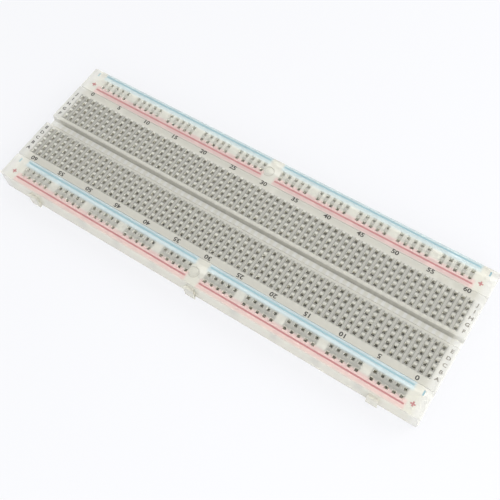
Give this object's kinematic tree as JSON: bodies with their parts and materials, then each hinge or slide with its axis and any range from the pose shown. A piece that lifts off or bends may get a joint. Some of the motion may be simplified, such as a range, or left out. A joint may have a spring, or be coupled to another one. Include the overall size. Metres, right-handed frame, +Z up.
{
  "type": "solderless breadboard",
  "caption": "Clear solderless breadboard: a long terminal strip with a centre groove between two detachable power strips, sprung metal contacts inside, adhesive foam underneath.",
  "frame": {"origin": "middle of the terminal strip's underside, on the surface that the board stands on, midway between the two blocks of columns", "axes": "+X along the board towards the 60 of the back row of numbers, +Y from the front edge with the tabs to the back edge with the slots, +Z up out of the deck"},
  "size_m": [0.166, 0.0562, 0.0095],
  "materials": {
    "clear_plastic": "clear moulded plastic, slightly milky, satin gloss",
    "contact_metal": "bright nickel plating on sprung sheet metal",
    "foam": "fine closed-cell foam tape, matt",
    "liner_paper": "waxed release paper, satin",
    "red_ink": "thin translucent printed ink",
    "blue_ink": "thin translucent printed ink",
    "dark_ink": "thin printed ink"
  },
  "bodies": {
    "back_power_strip": {"back_power_housing": "clear_plastic", "back_power_foam_pad": "foam", "back_power_release_liner": "liner_paper", "back_power_plus_rail_left": "contact_metal", "back_power_plus_rail_right": "contact_metal", "back_power_minus_rail_left": "contact_metal", "back_power_minus_rail_right": "contact_metal"},
    "terminal_strip": {"terminal_housing": "clear_plastic", "terminal_foam_pad": "foam", "terminal_release_liner": "liner_paper", "front_contact_bank_1": "contact_metal", "front_contact_bank_2": "contact_metal", "front_contact_bank_3": "contact_metal", "front_contact_bank_4": "contact_metal", "front_contact_bank_5": "contact_metal", "front_contact_bank_6": "contact_metal", "front_contact_bank_7": "contact_metal", "front_contact_bank_8": "contact_metal", "front_contact_bank_9": "contact_metal", "back_contact_bank_1": "contact_metal", "back_contact_bank_2": "contact_metal", "back_contact_bank_3": "contact_metal", "back_contact_bank_4": "contact_metal", "back_contact_bank_5": "contact_metal", "back_contact_bank_6": "contact_metal", "back_contact_bank_7": "contact_metal", "back_contact_bank_8": "contact_metal", "back_contact_bank_9": "contact_metal"},
    "front_power_strip": {"front_power_housing": "clear_plastic", "front_power_foam_pad": "foam", "front_power_release_liner": "liner_paper", "front_power_plus_rail_left": "contact_metal", "front_power_plus_rail_right": "contact_metal", "front_power_minus_rail_left": "contact_metal", "front_power_minus_rail_right": "contact_metal"}
  },
  "joints": [
    {"name": "terminal_strip_lift", "type": "slide", "parent": "back_power_strip", "child": "terminal_strip", "axis": [0, 0, 1], "range_m": [0, 0.01]},
    {"name": "front_power_strip_lift", "type": "slide", "parent": "terminal_strip", "child": "front_power_strip", "axis": [0, 0, 1], "range_m": [0, 0.01]}
  ]
}
